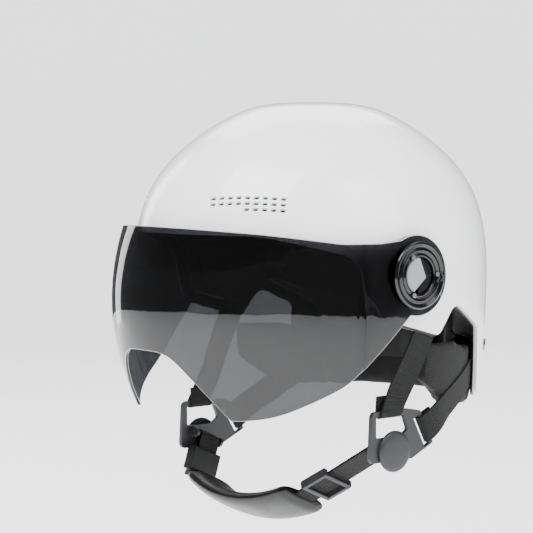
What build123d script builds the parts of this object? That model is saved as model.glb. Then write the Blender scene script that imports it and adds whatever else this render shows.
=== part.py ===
"""Half-shell riding helmet with a hinged smoke visor, webbing straps, chin pad and ratchet buckle.

Frame: +Z up, the wearer looks along -Y, +X is the wearer's left. The origin is the centre of the
widest section of the shell. All sizes are in millimetres.
"""
import os
from math import asin, atan2, cos, degrees, radians, sin, sqrt

from build123d import *

# ---------------------------------------------------------------- driving dimensions
shell_half_width = 115.0      # outer shell, centre to side
shell_half_length = 139.0     # outer shell, centre to brow or nape
shell_crown_height = 123.0    # outer shell, widest section to crown
shell_fullness = 2.23         # exponent of the crown curve, 2 is an ellipse
shell_wall = 3.5
shell_taper = 6.0             # inward lean of the lower skirt, reached at taper_depth
taper_depth = 88.0
nape_bottom = -91.0           # lowest edge of the shell

trim_thickness = 1.8
trim_height = 7.0
trim_lip = 1.5                # how far the trim shows below the shell edge
liner_thickness = 20.0
liner_fit = 0.1               # gap between the shell and the foam liner
liner_edge_gap = 8.5          # foam liner stops this far above the shell edge
pad_thickness = 6.0
pad_gap = 0.4                 # between soft pieces and their neighbours

strap_width = 21.0
strap_thickness = 1.6
strap_gap = 0.4               # between the trim and the straps behind it
bar_clearance = 0.35          # webbing loop round a bar

visor_half_width = 121.0
visor_half_length = 159.0
visor_wall = 2.6
visor_arm_step = 0.8          # the side arms stand proud of the lens by this much
visor_widest_z = -18.0
visor_side_radius = 700.0     # upright curvature at the sides
visor_front_radius = 125.0    # upright curvature at the front
visor_top_front = 39.0
visor_top_side = 26.0
visor_bottom = -95.0
nose_top = -48.0

pivot_y = -10.0
pivot_z = 3.0
pivot_radius = 23.5           # outer ring of the pivot
hub_radius = 17.0
recess_radius = 13.0
lobe_radius = 28.0            # rounded end of the visor arm
turn_clearance = 0.4          # between turning plastic pieces

divider_x = 103.0             # plane of the strap dividers
divider_y = -17.0             # centre of the round button, left side
divider_z = -120.0
divider_thickness = 3.2
right_drop = 14.3             # the right divider hangs this much lower along the chin loop
button_radius = 14.5
chin_lean = 25.0              # forward lean of the plane of the chin strap, degrees

hanger_inset = 6.5            # hanger pin axis, inboard of the divider plane
pin_radius = 1.5
chin_pad_thickness = 12.0
chin_pad_width = 42.0

buckle_length = 18.0
buckle_width = 26.0
buckle_thickness = 9.0
tongue_thickness = 2.2
tongue_width = 16.0
tongue_play = 0.75            # clearance on each face of the tongue
dial_radius = 15.0

SIDES = {"left": 1, "right": -1}
BIG = 400.0                   # longer than the helmet, for cutting prisms

parts = {}


# ---------------------------------------------------------------- shared forms
side_ratio = shell_half_width / shell_half_length
skirt_low = -1.5 * taper_depth


def form_curves(inset):
    """Crown and skirt curves of the shell's outer form moved inwards by inset (radius, z)."""
    radius = shell_half_length - inset
    height = shell_crown_height - inset
    power = 2.0 / shell_fullness
    angles = [radians(a) for a in (0, 35, 65)]
    crown = [(radius * cos(a) ** power, height * sin(a) ** power) for a in angles] + [(0.0, height)]
    skirt = [(radius - shell_taper * (k * skirt_low / taper_depth) ** 2, k * skirt_low) for k in (1.0, 0.5, 0.0)]
    return Spline(*crown, tangents=[(0, 1), (-1, 0)]), Spline(*skirt, tangents=[(1, 4), (0, 1)])


def half_turn(outline):
    """Left half of a form: a profile turned from the brow round to the nape."""
    profile = Plane(origin=(0, 0, 0), x_dir=(0, -1, 0), z_dir=(-1, 0, 0)) * make_face(outline)
    return revolve(profile, Axis.Z, revolution_arc=180)


def core(inset):
    """Left half of the closed solid inside an inset of the shell form."""
    crown, skirt = form_curves(inset)
    top, low = crown @ 1, skirt @ 0
    outline = [crown, skirt, Line(top, (0, low.Y)), Line((0, low.Y), low)]
    return scale(half_turn(outline), by=(side_ratio, 1, 1))


def skin(outer_inset, inner_inset, face):
    """Left half of the skin between two insets, kept where the side-view face covers it."""
    crown_out, skirt_out = form_curves(outer_inset)
    crown_in, skirt_in = form_curves(inner_inset)
    outline = [
        crown_out, skirt_out, crown_in, skirt_in,
        Line(crown_out @ 1, crown_in @ 1), Line(skirt_out @ 0, skirt_in @ 0),
    ]
    return scale(half_turn(outline) & side_prism(face), by=(side_ratio, 1, 1))


def whole(half):
    """A left half joined to its mirror image."""
    return half + mirror(half, about=Plane.YZ)


def side_prism(face):
    """Prism across the left half of the helmet from a face drawn in the side view (y, z)."""
    return extrude(Plane.YZ * face, BIG / 2, dir=(1, 0, 0))


def slab(face, x0, x1, y=0.0, z=0.0):
    """Side-view face made solid between two x positions, moved to (y, z)."""
    return Pos(x0, y, z) * extrude(Plane.YZ * face, x1 - x0, dir=(1, 0, 0))


def box_yz(y0, y1, z0, z1):
    """Side-view rectangle."""
    return Pos((y0 + y1) / 2, (z0 + z1) / 2) * Rectangle(y1 - y0, z1 - z0)


def shell_region(grow=0.0):
    """Side-view region that the shell covers, grown by a margin."""
    edge = [
        (-BIG / 2, 32), (-108, 31), (-50, 15), (-36, -26), (19, -41), (37, -19), (74, -39),
        (84, nape_bottom), (BIG / 2, nape_bottom),
    ]
    path = FilletPolyline(*edge, radius=[60, 24, 16, 6, 9, 5, 6])
    top = Polyline(edge[-1], (BIG / 2, BIG / 2), (-BIG / 2, BIG / 2), edge[0])
    region = make_face([*path.edges(), *top.edges()])
    if grow:
        region = offset(region, amount=grow)
    return region


def mirrored(solid, side):
    """The left-hand piece for side 1, its mirror image for side -1."""
    return solid if side == 1 else mirror(solid, about=Plane.YZ)


def body_of(shape):
    """One solid out of a boolean result."""
    solids = shape.solids()
    return solids[0] if len(solids) == 1 else Compound(solids)


# ---------------------------------------------------------------- vents
vent_columns = 9
vent_pitch = 6.1
vent_row_pitch = 4.2
vent_hole = (3.7, 2.2)
vent_lean = 0.8               # slant of a hole's sides
vent_azimuth = 32.5           # from straight ahead, towards the side
vent_height = 53.0
vent_gallery = 14.0           # depth of the air space behind the holes, from the shell's outside


def vent_plane():
    """Plane on the shell at the middle of the left vent, its normal pointing out."""
    ring = (1 - (vent_height / shell_crown_height) ** shell_fullness) ** (1 / shell_fullness)
    angle = radians(vent_azimuth)
    x = shell_half_width * ring * sin(angle)
    y = -shell_half_length * ring * cos(angle)
    level = (vent_height / shell_crown_height) ** (shell_fullness - 1) / shell_crown_height
    flat = ring ** (shell_fullness - 2)
    normal = Vector(flat * x / shell_half_width**2, flat * y / shell_half_length**2, level).normalized()
    return Plane(origin=(x, y, vent_height), x_dir=Vector(0, 0, -1).cross(normal) * -1, z_dir=normal)


def vent_panel(margin):
    """Rounded outline round the vent holes."""
    width = (vent_columns - 1) * vent_pitch + 12 + 2 * margin
    height = 2 * vent_row_pitch + 8 + 2 * margin
    return RectangleRounded(width, height, 4)


def vent_holes():
    """Slanted holes in three rows, the lowest row only on the outer part."""
    width, height = vent_hole
    lean = vent_lean
    holes = []
    for row in range(3):
        first = 0 if row < 2 else vent_columns - 5
        for column in range(first, vent_columns):
            u = (column - (vent_columns - 1) / 2) * vent_pitch
            v = (1 - row) * vent_row_pitch
            outline = Polygon(
                (-width / 2 - lean / 2, -height / 2), (width / 2 - lean / 2, -height / 2),
                (width / 2 + lean / 2, height / 2), (-width / 2 + lean / 2, height / 2), align=None)
            holes.append(Pos(u, v) * outline)
    return Sketch() + holes


# ---------------------------------------------------------------- shell, trim, liner
trim_inner = shell_wall + trim_thickness
strap_outer = trim_inner + strap_gap
strap_inner = strap_outer + strap_thickness
liner_inner = shell_wall + liner_fit + liner_thickness

base_screw_offset = 8.0
screw_radius = 2.0
hole_gap = 0.2

rear_anchor_y, rear_anchor_z = 110.0, -57.0
front_anchor_y, front_anchor_z = 28.0, -2.0


def x_cylinder(radius, x0, x1, y=pivot_y, z=pivot_z):
    """Cylinder along X between two x positions."""
    return Pos((x0 + x1) / 2, y, z) * Rot(0, 90, 0) * Cylinder(radius, x1 - x0)


def surface_plane(y, z, inset=0.0):
    """Plane on the left of the shell form at a side-view place, its normal pointing out."""
    b = shell_half_length - inset
    a = b * side_ratio
    lean = shell_taper * (z / taper_depth) ** 2 / shell_half_length
    x = a * sqrt((1 - lean) ** 2 - (y / b) ** 2)
    slope = -2 * shell_taper * z / taper_depth**2 / shell_half_length
    normal = Vector(x / a**2, y / b**2, -slope).normalized()
    return Plane(origin=(x, y, z), z_dir=normal)


def rear_axis():
    """Plane of the rear strap rivet, on the outside of the shell."""
    return surface_plane(rear_anchor_y, rear_anchor_z)


def front_axis():
    """Plane of the front strap screw, on the inside of the shell."""
    return surface_plane(front_anchor_y, front_anchor_z, shell_wall)


def build_shell():
    """Outer shell with its vents, pivot screw holes and strap rivet holes."""
    cutters = []
    for step in (-base_screw_offset, base_screw_offset):
        cutters.append(x_cylinder(screw_radius + hole_gap, 100, 125, pivot_y + step))
    cutters.append(rear_axis() * Cylinder(screw_radius + hole_gap, 16))
    cutters.append(front_axis() * Cylinder(screw_radius + hole_gap, 3))
    half = skin(0, shell_wall, shell_region()) - cutters
    return whole(half - vent_plane() * extrude(vent_holes(), 12, both=True))


def liner_region():
    """Side-view region of the foam liner, stopped above the neck padding at the back."""
    return shell_region(-liner_edge_gap) & box_yz(-BIG / 2, BIG / 2, -48, BIG / 2)


def build_liner():
    """Foam liner with air galleries behind the vents and pockets for the pivots and anchors."""
    cutters = [vent_plane() * extrude(vent_panel(-1.5), vent_gallery, both=True), x_cylinder(17, 101, 125)]
    cutters.append(Pos(109, front_anchor_y - 4, front_anchor_z - 8) * Box(14, 46, 46))
    cutters.append(rear_axis() * Box(40, 40, 26))
    cutters.append(skin(cradle_outer - pad_gap, liner_inner + 1, cradle_arm(pad_gap)))
    return whole(skin(shell_wall + liner_fit, liner_inner, liner_region()) - cutters)


# ---------------------------------------------------------------- padding
pad_outer = liner_inner + pad_gap
pad_inner = pad_outer + pad_thickness
neck_outer = strap_inner + 0.8
neck_inner = neck_outer + 12.0
neck_front = 11.0
neck_split = 78.0


def neck_outline(y0, y1):
    """Side-view outline of the neck padding between two y positions."""
    outline = Polyline(
        (neck_front, -47), (neck_front, -73), (42, nape_bottom - 6), (BIG / 3, nape_bottom - 6),
        (BIG / 3, -52), (64, -52), (50, -47), close=True)
    return make_face(outline) & box_yz(y0, y1, -BIG / 2, BIG / 2)


def build_pads():
    """Comfort pads under the liner and the neck padding below it."""
    parts["brow_pad"] = whole(skin(pad_outer, pad_inner, box_yz(-BIG / 2, -62, 41, 62)))
    parts["rear_pad"] = whole(skin(pad_outer, pad_inner, box_yz(76, BIG / 2, 0, 34)))
    crown = skin(pad_outer, pad_inner, box_yz(-54, 62, 50, BIG / 2))
    parts["crown_pad"] = whole(crown & Pos(0, 4, 110) * Box(86, 116, 120))
    parts["nape_pad"] = whole(skin(neck_outer, neck_inner, neck_outline(neck_split, BIG / 2)))
    temple = skin(pad_outer, pad_inner, box_yz(-46, 62, 18, 46))
    ear = skin(neck_outer, neck_inner, neck_outline(0, neck_split - pad_gap))
    for name, side in SIDES.items():
        parts[f"{name}_temple_pad"] = mirrored(temple, side)
        parts[f"{name}_ear_pad"] = mirrored(ear, side)


# ---------------------------------------------------------------- nape cradle and its dial
cradle_outer = neck_inner + 1.0
cradle_wall = 2.2
cradle_low, cradle_high = -74.0, -50.0
dial_z = (cradle_low + cradle_high) / 2


def cradle_arm(grow):
    """Side-view outline of the upright arm that plugs into the foam liner."""
    return box_yz(52 - grow, 64 + grow, cradle_low, -30 + grow)


def build_cradle():
    """Nape band with a round dial housing on its inner face and a turning dial."""
    inner = cradle_outer + cradle_wall
    outline = box_yz(52, BIG / 2, cradle_low, cradle_high)
    band = whole(skin(cradle_outer, inner, outline + cradle_arm(0)))
    face_y = shell_half_length - inner - 1.5
    housing = Pos(0, face_y - 2, dial_z) * Rot(90, 0, 0) * Cylinder(dial_radius - 2, 5)
    spindle = Pos(0, face_y - 9.5, dial_z) * Rot(90, 0, 0) * Cylinder(4, 14)
    housing_top = face_y - 4.5
    ring = Pos(0, housing_top - 4 - turn_clearance, dial_z) * Rot(90, 0, 0)
    knob = ring * (Cylinder(dial_radius, 8) - Cylinder(4 + 0.1, 8))
    notches = [ring * Rot(0, 0, 360 / 16 * k) * Pos(dial_radius, 0, 0) * Cylinder(1.2, 8) for k in range(16)]
    cap_y = housing_top - 8 - 2 * turn_clearance
    cap = Pos(0, cap_y - 1, dial_z) * Rot(90, 0, 0) * Cylinder(6.5, 2)
    spindle = spindle & Pos(0, cap_y + BIG / 2, dial_z) * Box(BIG, BIG, BIG)
    parts["nape_cradle"] = body_of(band + (housing & whole(core(inner))) + spindle)
    parts["fit_dial"] = body_of(knob - notches)
    parts["fit_dial_cap"] = cap


# ---------------------------------------------------------------- visor and pivots
def visor_body(grow):
    """Barrel whose outside is the lens surface moved out by grow."""
    sections = []
    for z in (72, 45, 15, -18, -50, -80, -112):
        drop = (z - visor_widest_z) ** 2 / 2
        a = visor_half_width - drop / visor_side_radius + grow
        b = visor_half_length - drop / visor_front_radius + grow
        sections.append(Pos(0, 0, z) * Ellipse(a, b))
    return loft(sections)


def visor_outline():
    """Side-view outline of the visor: lens, side arm and rounded pivot end."""
    outline = FilletPolyline(
        (pivot_y, visor_top_side + 3), (-40, visor_top_side), (-66, visor_top_side),
        (-112, visor_top_side + 7), (-BIG / 2, visor_top_front + 4), (-BIG / 2, visor_bottom),
        (-108, visor_bottom), (-62, -70), (-16, -24), (pivot_y, -22),
        radius=[30, 60, 80, 1, 1, 55, 60, 8], close=False)
    closing = Line(outline @ 1, outline @ 0)
    lobe = Pos(pivot_y, pivot_z) * Circle(lobe_radius)
    return make_face([*outline.edges(), closing]) + lobe


def nose_prism():
    """Cutter for the nose notch in the lower edge of the lens."""
    half = [(24, nose_top - 3.5), (36, nose_top - 16), (46, nose_top - 32), (60, nose_top - 62)]
    points = [(-x, z) for x, z in reversed(half)] + [(0, nose_top)] + half
    arch = Spline(*points)
    closing = Line(points[-1], points[0])
    face = Plane.XZ * make_face([arch, closing])
    return extrude(face, 220)


def build_visor():
    """Smoke lens and its two arms, one moulding."""
    outline = visor_outline()
    arm_outline = outline & box_yz(-52, BIG / 2, -BIG / 2, BIG / 2)
    lens = visor_body(0) & side_prism(outline)
    arm = visor_body(visor_arm_step) & side_prism(arm_outline)
    half = lens + arm - visor_body(-visor_wall)
    half = half - nose_prism() - x_cylinder(hub_radius + 0.3, 90, 130)
    return body_of(whole(half))


arm_face = visor_half_width + visor_arm_step
base_top = arm_face + turn_clearance          # where the ring sits on the hub
flange_top = 115.7             # clears the inside of the visor arm all the way round
flange_radius = 19.5
ring_thickness = 2.6
floor_top = flange_top + 1.0
latch_travel = 2.5
latch_thickness = 2.4


latch_gap = 0.6               # left between the cap and the latch when it is pushed forward
latch_room = 0.8              # radial play of the latch in the recess


def cap_wedge(shift):
    """Side-view area behind the cap's arrow-shaped rear edge, moved rearwards by shift."""
    tip, high, low = (5.5, -1.5), (-3.3, 19.0), (-17.5, -20.5)
    corners = [high, tip, low, (BIG / 10, low[1]), (BIG / 10, high[1])]
    return Pos(shift, 0) * Polygon(*corners, align=None)


def build_pivot(name, side):
    """Pivot base, ring, cap, latch, screws and inner plate of one side."""
    flange = x_cylinder(flange_radius, 108, flange_top)
    hub = x_cylinder(hub_radius, 108, base_top)
    recess = x_cylinder(recess_radius, floor_top, base_top + 5)
    base = flange + hub - recess - core(0)
    ring = x_cylinder(pivot_radius, base_top, base_top + ring_thickness)
    step = x_cylinder(pivot_radius - 2.2, base_top + ring_thickness - 0.7, base_top + 9)
    rise = x_cylinder(hub_radius - 0.8, base_top, base_top + ring_thickness)
    ring = ring - step + rise - x_cylinder(recess_radius, base_top - 5, base_top + 9)
    screws = []
    for k in range(3):
        angle = radians(122 + 120 * k)
        y = pivot_y + 15 * cos(angle)
        z = pivot_z + 15 * sin(angle)
        base = base - x_cylinder(0.9, base_top - 3.4, base_top + 1, y, z)
        ring = ring - x_cylinder(1.0, base_top - 1, base_top + 9, y, z)
        shank = x_cylinder(0.8, base_top - 3.2, base_top + ring_thickness, y, z)
        head = x_cylinder(1.7, base_top + ring_thickness, base_top + ring_thickness + 0.8, y, z)
        screws.append(shank + head)
    clamps = []
    for step_y in (-base_screw_offset, base_screw_offset):
        y = pivot_y + step_y
        base = base - x_cylinder(screw_radius + hole_gap, 100, 125, y)
        clamps.append(x_cylinder(screw_radius, 104.5, floor_top, y) + x_cylinder(3.4, floor_top, floor_top + 1.2, y))
    plate = x_cylinder(15, 106.5, 108.5)
    for step_y in (-base_screw_offset, base_screw_offset):
        plate = plate - x_cylinder(screw_radius + hole_gap, 100, 125, pivot_y + step_y)
    low = floor_top + 1.6
    cap_face = Circle(recess_radius - turn_clearance) - cap_wedge(0)
    cap = slab(cap_face, low, base_top + ring_thickness - 0.4, pivot_y, pivot_z)
    latch_face = cap_wedge(latch_travel + latch_gap) & Circle(recess_radius - latch_room) & box_yz(0, BIG, -BIG, BIG)
    latch = slab(latch_face, low + 0.3, low + 0.3 + latch_thickness + 1.4, pivot_y, pivot_z)
    parts[f"{name}_pivot_base"] = mirrored(body_of(base), side)
    parts[f"{name}_pivot_ring"] = mirrored(body_of(ring), side)
    parts[f"{name}_pivot_cap"] = mirrored(body_of(cap), side)
    parts[f"{name}_visor_latch"] = mirrored(body_of(latch), side)
    parts[f"{name}_inner_plate"] = mirrored(body_of(plate), side)
    return [mirrored(s, side) for s in screws], [mirrored(s, side) for s in clamps]


# ---------------------------------------------------------------- straps and dividers
front_bar = (divider_y - 3.0, divider_z + 27.0)    # middle of the bar, left side (y, z)
rear_bar = (divider_y + 31.0, divider_z + 13.5)
bar_width = 3.4
window_depth = 5.0


def band_outline(start, end, extra=0.0):
    """Side-view strip of webbing from one place to another."""
    start, end = Vector(*start), Vector(*end)
    run = end - start
    angle = degrees(atan2(run.Y, run.X))
    middle = start + run * 0.5
    return Pos(middle.X, middle.Y) * Rot(0, 0, angle) * Rectangle(run.length + extra, strap_width)


def bar_loop(place, angle):
    """Webbing folded round a divider bar; the bar runs at angle to +Y in the side view."""
    hole_x = divider_thickness + 2 * bar_clearance
    hole_d = bar_width + 2 * bar_clearance
    wrap = 2 * strap_thickness
    outer = Box(hole_x + wrap, strap_width, hole_d + wrap)
    inner = Box(hole_x, strap_width + 2, hole_d)
    return Pos(divider_x, *place) * Rot(angle, 0, 0) * (outer - inner)


def build_straps(name, side, shift):
    """Front and rear webbing of one side, from the shell down to the divider."""
    front_place = (front_bar[0] + shift[0], front_bar[1] + shift[1])
    rear_place = (rear_bar[0] + shift[0], rear_bar[1] + shift[1])
    tilt = rear_tilt(rear_place)
    front_band = band_outline(front_place, (front_anchor_y, front_anchor_z), 6)
    rear_band = band_outline(rear_place, (rear_anchor_y, rear_anchor_z), 14)
    front = skin(strap_outer, strap_inner, front_band)
    front = front - Pos(0, 0, front_place[1] - BIG / 2 + bar_width / 2 + bar_clearance + 1) * Box(BIG, BIG, BIG)
    front = front + bar_loop(front_place, 0)
    rear = skin(strap_outer, strap_inner, rear_band)
    swing = Pos(divider_x, *rear_place) * Rot(tilt, 0, 0)
    keep = swing * Pos(0, BIG / 2 + bar_width / 2 + bar_clearance + 1, 0) * Box(BIG, BIG, BIG)
    rear = (rear & keep) + bar_loop(rear_place, tilt - 90)
    rear = rear - rear_axis() * Cylinder(screw_radius + hole_gap, 30)
    front = front - front_axis() * Cylinder(screw_radius + hole_gap, 30)
    parts[f"{name}_front_strap"] = mirrored(body_of(front), side)
    parts[f"{name}_rear_strap"] = mirrored(body_of(rear), side)


def rear_tilt(rear_place):
    """Side-view angle of the rear strap above the horizontal, degrees."""
    run = Vector(rear_anchor_y - rear_place[0], rear_anchor_z - rear_place[1])
    return degrees(asin(run.Y / run.length))


def build_anchors(name, side):
    """Steel plates, screws and rivets that hold the upper ends of the straps."""
    front_face = Pos(front_anchor_y, front_anchor_z) * RectangleRounded(18, 16, 3)
    gap = 0.05
    front = skin(shell_wall + gap, strap_outer - gap, front_face)
    rear_face = Pos(rear_anchor_y, rear_anchor_z) * RectangleRounded(14, 18, 3)
    rear = skin(shell_wall + gap, strap_outer - gap, rear_face)
    front = front - front_axis() * Cylinder(screw_radius + hole_gap, 16)
    rear = rear - rear_axis() * Cylinder(screw_radius + hole_gap, 20)
    parts[f"{name}_front_anchor"] = mirrored(body_of(front), side)
    parts[f"{name}_rear_anchor"] = mirrored(body_of(rear), side)
    screw_reach = skin(shell_wall - 1.2, strap_inner + 0.5, box_yz(0, 60, -30, 30))
    screw = (front_axis() * Cylinder(screw_radius, 30)) & screw_reach
    head_reach = skin(strap_inner, strap_inner + 1.4, box_yz(0, 60, -30, 30))
    screw = screw + ((front_axis() * Cylinder(4.0, 30)) & head_reach)
    rivet_reach = skin(-0.8, strap_inner + 0.4, box_yz(90, 130, -80, -30))
    rivet = (rear_axis() * Cylinder(screw_radius, 30)) & rivet_reach
    rivet = rivet + rear_axis() * Pos(0, 0, 1.1) * Cylinder(4.6, 1.2)
    washer_reach = skin(strap_inner, strap_inner + 0.6, box_yz(90, 130, -80, -30))
    rivet = rivet + ((rear_axis() * Cylinder(3.6, 30)) & washer_reach)
    return [mirrored(body_of(screw), side)], [mirrored(body_of(rivet), side)]


loop_plane = Plane(
    origin=(0, divider_y, divider_z), x_dir=(1, 0, 0),
    z_dir=(0, cos(radians(chin_lean)), -sin(radians(chin_lean))))


def loop_place(x, s):
    """Point of the chin loop plane in the helmet frame; s runs down the loop."""
    return loop_plane.from_local_coords((x, s, 0))


def loop_solid(face, width, offset_w=0.0):
    """Solid of a face drawn in the chin loop plane, centred on it across the webbing."""
    solid = extrude(face, width / 2, both=True)
    return loop_plane * (Pos(0, 0, offset_w) * solid)


def build_divider(name, side, drop):
    """Fan-shaped strap divider with its round button, hanger lugs and hanger pin."""
    centre = loop_place(0, drop)
    y, z = centre.Y, centre.Z
    top = front_bar[1] - divider_z + bar_width / 2
    corners = [(-20, top), (14, top), (26, 26.5), (42, 4), (18, -7), (-22, -7)]
    plate = make_face(FilletPolyline(*corners, radius=4, close=True))
    high = top - bar_width
    window = make_face(FilletPolyline((-16, high), (9.5, high), (14, 14), (8, 10), (-16, 10), radius=2, close=True))
    tilt = rear_tilt((rear_bar[0] + y - divider_y, rear_bar[1] + z - divider_z))
    slot = Pos(31, 13.5) * Rot(0, 0, tilt) * Pos(-bar_width / 2 - window_depth / 2, 0) * Rectangle(window_depth, 23.5)
    bar_back = Pos(31, 13.5) * Rot(0, 0, tilt) * Pos(bar_width / 2 + BIG / 2, 0) * Rectangle(BIG, BIG)
    plate = plate - window - slot - bar_back
    solid = slab(plate, divider_x - divider_thickness / 2, divider_x + divider_thickness / 2, y, z)
    lug = Pos(divider_x - hanger_inset, drop) * Circle(3.6) + Pos(
        divider_x - hanger_inset / 2 - 0.5, drop) * Rectangle(hanger_inset - 1, 7.2)
    lug_offset = strap_width / 2 + 1.8
    for sign in (-1, 1):
        solid = solid + loop_solid(lug, 2.0, sign * lug_offset)
    pin_face = Pos(divider_x - hanger_inset, drop) * Circle(pin_radius)
    pin = loop_solid(pin_face, 2 * lug_offset + 2.0)
    solid = solid - loop_solid(Pos(divider_x - hanger_inset, drop) * Circle(pin_radius + 0.02), 40)
    face_x = divider_x + divider_thickness / 2
    button = x_cylinder(button_radius, face_x, face_x + 2.4, y, z)
    button = button + x_cylinder(button_radius - 3, face_x + 2.4, face_x + 3.4, y, z)
    parts[f"{name}_divider"] = mirrored(body_of(solid), side)
    parts[f"{name}_divider_button"] = mirrored(body_of(button), side)
    parts[f"{name}_hanger_pin"] = mirrored(body_of(pin), side)


# ---------------------------------------------------------------- chin strap
hinge_x = divider_x - hanger_inset
loop_inner = pin_radius + bar_clearance
web_start = (hinge_x, 0.0)
web_turn = (32.0, 44.0)
pad_low = (-25.0, 58.0)
pad_end = (-80.0, 46.5)
tongue_axis = Vector(right_drop + 15, hinge_x + 94).normalized()
tongue_foot = (-91.6, 45.0)


def along(start, end, distance):
    """Point on the way from start to end."""
    a, b = Vector(*start), Vector(*end)
    point = a + (b - a).normalized() * distance
    return (point.X, point.Y)


def chin_path(first):
    """Middle line of the chin webbing in the loop plane."""
    return [Line(first, web_turn), ThreePointArc(web_turn, pad_low, pad_end)]


def build_chin_strap():
    """Chin webbing, its padded sleeve and the sliding adjuster."""
    start = along(web_start, web_turn, loop_inner + strap_thickness / 2)
    tail = Line(pad_end, along(pad_end, tongue_foot, 8.0))
    web = Sketch() + [trace(edge, strap_thickness) for edge in (*chin_path(start), tail)]
    web = web + Pos(*web_start) * Circle(loop_inner + strap_thickness)
    web = web - Pos(*web_start) * Circle(loop_inner)
    parts["chin_web"] = body_of(loop_solid(web, strap_width - 1))
    arc = ThreePointArc(web_turn, pad_low, pad_end).trim(0.06, 0.97)
    outer = loop_solid(trace(arc, chin_pad_thickness), chin_pad_width)
    bore_edges = Sketch() + [trace(e, strap_thickness + 0.8) for e in (*chin_path(start), tail)]
    parts["chin_pad"] = body_of(outer - loop_solid(bore_edges, strap_width + 1))
    build_adjuster()


adjuster_at = 57.0            # distance down the webbing from the hanger pin
adjuster_length = 24.0
adjuster_rail = 2.6


def build_adjuster():
    """Ladder-lock adjuster: two rails, end bars above the webbing and a middle bar below."""
    direction = (Vector(*web_turn) - Vector(*web_start)).normalized()
    angle = -degrees(asin(-direction.Y)) if direction.X > 0 else 180 - degrees(asin(direction.Y))
    centre = along(web_start, web_turn, adjuster_at)
    place = Pos(*centre) * Rot(0, 0, angle)
    rail = place * RectangleRounded(adjuster_length, 6.4, 1.5)
    half = strap_width / 2 + 0.6
    body = loop_solid(rail, adjuster_rail, half + adjuster_rail / 2)
    body = body + loop_solid(rail, adjuster_rail, -half - adjuster_rail / 2)
    reach = strap_thickness / 2 + 0.4 + 0.9
    for u, v in ((-adjuster_length / 2 + 1.8, -reach), (adjuster_length / 2 - 1.8, -reach), (0.0, reach)):
        body = body + loop_solid(place * Pos(u, v) * RectangleRounded(3.4, 1.8, 0.6), 2 * half + 1)
    parts["strap_adjuster"] = body_of(body)


# ---------------------------------------------------------------- buckle on the right
def buckle_place():
    """Loop-plane placement of the buckle: local x runs up along the tongue, local y outwards."""
    up = Vector(-tongue_axis.X, -tongue_axis.Y)
    angle = degrees(asin(up.Y / up.length))
    angle = -180 - angle if up.X < 0 else angle
    centre = Vector(*tongue_foot) + up * (buckle_length / 2 + 2.6)
    return Pos(centre.X, centre.Y) * Rot(0, 0, angle)


lever_length = 15.0
lever_thickness = 2.2
lever_pin_radius = 1.2
lever_width = 16.0
lever_pin = (buckle_length / 2 - 6.0, -(buckle_thickness / 2 - 1.2))   # in the buckle's own axes


def build_buckle():
    """Ratchet buckle: housing, toothed tongue, lever with its pin, and the short hanging web."""
    place = buckle_place()
    half = buckle_length / 2
    outward = -1
    block = place * RectangleRounded(buckle_length, buckle_thickness, 1.5)
    housing = loop_solid(block, buckle_width)
    channel_t = tongue_thickness + 2 * tongue_play
    channel = place * Pos(-3.5, 0) * Rectangle(buckle_length, channel_t)
    housing = housing - loop_solid(channel, tongue_width + 1.2)
    well = place * Pos(-1.2, outward * (buckle_thickness / 2 - 1)) * Rectangle(buckle_length - 5, 5.4)
    housing = housing - loop_solid(well, lever_width + 2)
    pin_face = place * Pos(*lever_pin) * Circle(lever_pin_radius)
    housing = housing - loop_solid(place * Pos(*lever_pin) * Circle(lever_pin_radius + 0.02), 22.4)
    parts["buckle_pin"] = body_of(loop_solid(pin_face, 22))
    blade_y = outward * (buckle_thickness / 2 + 0.3 + lever_thickness / 2)
    eye = place * Pos(*lever_pin) * Circle(1.9)
    blade = place * Pos(lever_pin[0] - lever_length / 2, blade_y) * RectangleRounded(
        lever_length, lever_thickness, 0.8)
    nose = place * Pos(lever_pin[0] - 6.5, -3.4) * Rectangle(2.0, 3.2)
    lever = loop_solid(Sketch() + [eye, blade, nose], lever_width)
    lever = lever - loop_solid(place * Pos(*lever_pin) * Circle(lever_pin_radius + 0.08), 30)
    parts["buckle_lever"] = body_of(lever)
    parts["buckle_housing"] = body_of(housing)
    teeth = [
        place * Pos(-half + 2.6 + 1.7 * k, -tongue_thickness / 2) * Polygon(
            (-0.5, 0.1), (0.5, 0.1), (0.5, -0.35), align=None) for k in range(6)]
    blade_face = place * Pos(-2.3, 0) * RectangleRounded(buckle_length - 4.6, tongue_thickness, 0.9)
    foot = place * Pos(-half - 3.2, 0) * RectangleRounded(4.0, 5.2, 1.2)
    neck = place * Pos(-half - 1.0, 0) * Rectangle(3.2, tongue_thickness)
    tongue = loop_solid(Sketch() + [blade_face, neck], tongue_width) + loop_solid(foot, strap_width + 3)
    tongue = tongue + loop_solid(Sketch() + teeth, tongue_width - 4)
    parts["buckle_tongue"] = body_of(tongue)
    build_right_web(place, half)


def build_right_web(place, half):
    """Short webbing from the right hanger pin to the top of the buckle housing."""
    top = place * Pos(half + 0.1, 0)
    end = Vector(top.position.X, top.position.Y)
    start = (-hinge_x, right_drop)
    first = along(start, (end.X, end.Y), loop_inner + strap_thickness / 2)
    web = trace(Line(first, (end.X, end.Y)), strap_thickness) + Pos(*start) * Circle(loop_inner + strap_thickness)
    web = web - Pos(*start) * Circle(loop_inner) - place * Rectangle(2 * half, buckle_thickness)
    parts["right_web"] = body_of(loop_solid(web, strap_width - 1))


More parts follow.
